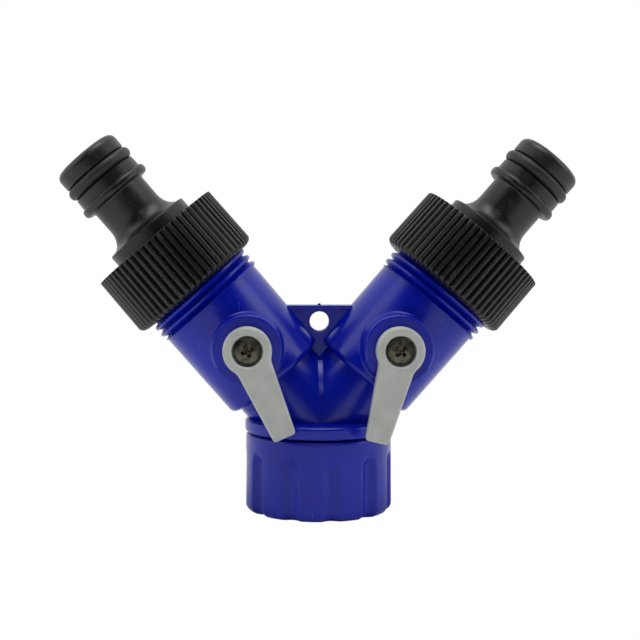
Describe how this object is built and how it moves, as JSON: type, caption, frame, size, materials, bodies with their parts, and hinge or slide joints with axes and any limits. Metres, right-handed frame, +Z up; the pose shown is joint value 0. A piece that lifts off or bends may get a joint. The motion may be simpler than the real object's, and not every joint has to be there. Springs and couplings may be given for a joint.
{
  "type": "hose splitter",
  "caption": "Y-shaped garden hose splitter: a swivel nut for the tap, two arms with lever ball valves, and screw-on adaptors with quick-connect nipples.",
  "frame": {"origin": "on the swivel nut's axis, in the plane of its lower rim", "axes": "+Z up along the swivel nut's axis, the two arms spread along X, the levers face -Y"},
  "size_m": [0.1156, 0.0368, 0.0842],
  "materials": {
    "blue_plastic": "glossy injection-moulded plastic, saturated blue",
    "grey_plastic": "satin light grey plastic",
    "black_plastic": "satin black plastic with fine moulding marks",
    "rubber": "black sealing rubber, slightly shiny",
    "seat_plastic": "off-white slippery plastic",
    "steel": "dark plated steel"
  },
  "bodies": {
    "body": {"y_body": "blue_plastic", "inlet_tailpiece": "blue_plastic", "tailpiece_oring": "rubber", "inlet_washer": "rubber", "left_inner_seat": "seat_plastic", "left_outer_seat": "seat_plastic", "left_seat_retainer": "seat_plastic", "right_inner_seat": "seat_plastic", "right_outer_seat": "seat_plastic", "right_seat_retainer": "seat_plastic"},
    "swivel_nut": {"swivel_nut": "blue_plastic"},
    "left_valve": {"left_lever": "grey_plastic", "left_lever_screw": "steel", "left_valve_stem": "seat_plastic", "left_stem_oring": "rubber", "left_valve_ball": "seat_plastic"},
    "left_washer": {"left_adaptor_washer": "rubber"},
    "left_adaptor": {"left_hose_adaptor": "black_plastic", "left_nipple_oring": "rubber"},
    "right_valve": {"right_lever": "grey_plastic", "right_lever_screw": "steel", "right_valve_stem": "seat_plastic", "right_stem_oring": "rubber", "right_valve_ball": "seat_plastic"},
    "right_washer": {"right_adaptor_washer": "rubber"},
    "right_adaptor": {"right_hose_adaptor": "black_plastic", "right_nipple_oring": "rubber"}
  },
  "joints": [
    {"name": "nut_swivel", "type": "hinge", "parent": "body", "child": "swivel_nut", "pos_m": [0, 0, 0.009], "axis": [0, 0, 1], "continuous": true},
    {"name": "left_lever_turn", "type": "hinge", "parent": "body", "child": "left_valve", "pos_m": [-0.01634, 0, 0.03773], "axis": [0, -1, 0], "range_deg": [-72.7, 17.3]},
    {"name": "left_adaptor_travel", "type": "slide", "parent": "body", "child": "left_washer", "axis": [-0.6534, 0, 0.757], "range_m": [0, 0.0091]},
    {"name": "left_adaptor_screw", "type": "hinge", "parent": "left_washer", "child": "left_adaptor", "pos_m": [-0.03267, 0, 0.05665], "axis": [-0.6534, 0, 0.757], "range_deg": [0, 1800]},
    {"name": "right_lever_turn", "type": "hinge", "parent": "body", "child": "right_valve", "pos_m": [0.01634, 0, 0.03773], "axis": [0, -1, 0], "range_deg": [-26.8, 63.2]},
    {"name": "right_adaptor_travel", "type": "slide", "parent": "body", "child": "right_washer", "axis": [0.6534, 0, 0.757], "range_m": [0, 0.0091]},
    {"name": "right_adaptor_screw", "type": "hinge", "parent": "right_washer", "child": "right_adaptor", "pos_m": [0.03267, 0, 0.05665], "axis": [0.6534, 0, 0.757], "range_deg": [0, 1800]}
  ],
  "couplings": [
    {"joint": "left_adaptor_travel", "follows": "left_adaptor_screw", "m_per_rad": 0.00028875},
    {"joint": "right_adaptor_travel", "follows": "right_adaptor_screw", "m_per_rad": 0.00028875}
  ]
}
